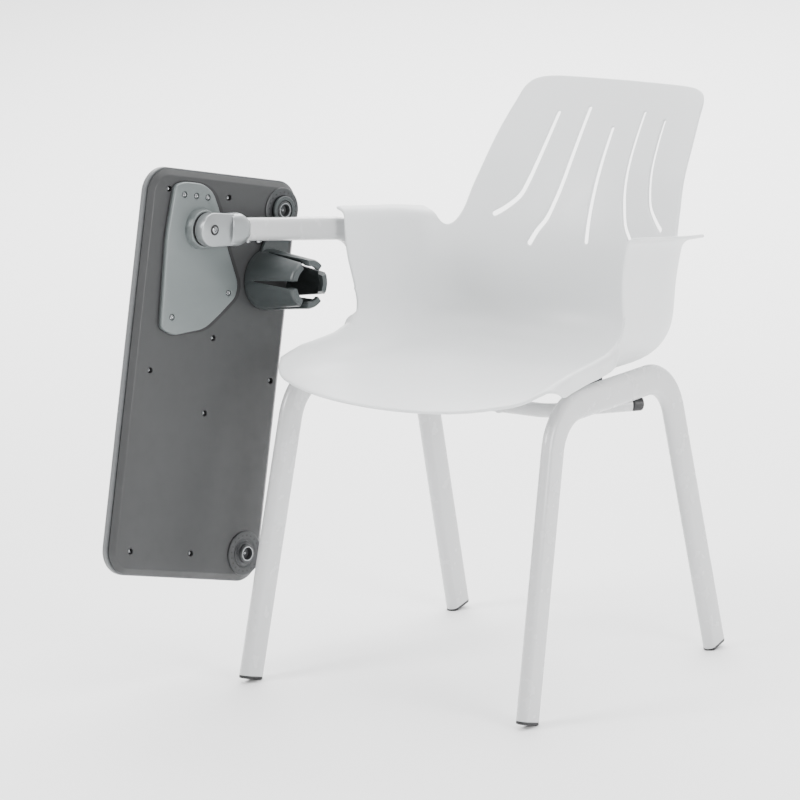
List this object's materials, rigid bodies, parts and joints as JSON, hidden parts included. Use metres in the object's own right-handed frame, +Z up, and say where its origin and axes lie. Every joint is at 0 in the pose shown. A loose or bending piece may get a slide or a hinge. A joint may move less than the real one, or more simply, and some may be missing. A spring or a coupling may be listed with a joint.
{
  "type": "student desk chair",
  "caption": "School armchair with a slotted one-piece shell on oval-tube side frames, and a folding writing tablet with a cup holder stowed beside it.",
  "frame": {"origin": "middle of the part's bounding box, on the floor", "axes": "+Z up, the chair faces -Y, +X is the sitter's left"},
  "size_m": [0.6604, 0.8426, 0.8299],
  "materials": {
    "shell": "fine satin texture, pale grey",
    "frame": "satin powder coat, light grey",
    "black": "black moulded rubber",
    "steel": "zinc plated fasteners",
    "casting": "satin die casting",
    "plate": "grey satin powder coat",
    "cover": "fine grained moulding, dark grey",
    "top": "fine grained moulding, grey",
    "dial": "fine grained moulding, dark grey",
    "cup": "dark grey-green satin moulding"
  },
  "bodies": {
    "root": {"seat_shell": "shell", "support_bar": "frame", "tablet_arm_tube": "frame", "tablet_arm_bracket": "frame", "arm_insert": "steel", "side_frame_left": "frame", "foot_cap_front_left": "black", "foot_cap_rear_left": "black", "support_bar_plug_left": "black", "side_frame_right": "frame", "foot_cap_front_right": "black", "foot_cap_rear_right": "black", "support_bar_plug_right": "black", "seat_saddle_1": "black", "seat_screw_1": "steel", "seat_saddle_2": "black", "seat_screw_2": "steel", "seat_saddle_3": "black", "seat_screw_3": "steel", "seat_saddle_4": "black", "seat_screw_4": "steel", "tablet_arm_bolt_1": "steel", "arm_insert_screw_1": "steel", "tablet_arm_bolt_2": "steel", "arm_insert_screw_2": "steel"},
    "knuckle": {"knuckle": "casting", "pivot_ring": "black", "pivot_bolt": "steel", "pivot_nut": "steel", "pivot_washer": "black"},
    "tablet": {"hinge_plate": "plate", "hinge_plate_screw_1": "steel", "hinge_plate_screw_2": "steel", "hinge_plate_screw_3": "steel", "hinge_plate_screw_4": "steel", "hinge_plate_screw_5": "steel", "tablet_cover": "cover", "tablet_seal": "black", "tablet_top": "top", "cover_screw_1": "steel", "cover_screw_2": "steel", "cover_screw_3": "steel", "cover_screw_4": "steel", "cover_screw_5": "steel", "cover_screw_6": "steel", "cover_screw_7": "steel", "cover_screw_8": "steel", "cover_screw_9": "steel", "dial_upper": "dial", "dial_lower": "dial", "dial_screw_upper": "steel", "dial_screw_lower": "steel"},
    "cup_holder": {"cup_holder": "cup"}
  },
  "joints": [
    {"name": "tablet_flip", "type": "hinge", "parent": "root", "child": "knuckle", "pos_m": [-0.26788, -0.22348, 0.6685], "axis": [0.1773, 0.9755, -0.1304], "range_deg": [0, 90]},
    {"name": "tablet_swivel", "type": "hinge", "parent": "knuckle", "child": "tablet", "pos_m": [-0.26788, -0.22348, 0.6685], "axis": [-0.984, 0.1735, -0.0401], "range_deg": [0, 180]},
    {"name": "cup_holder_swing", "type": "hinge", "parent": "tablet", "child": "cup_holder", "pos_m": [-0.25785, -0.05067, 0.67128], "axis": [0.984, -0.1735, 0.0401], "range_deg": [-10, 20]}
  ]
}
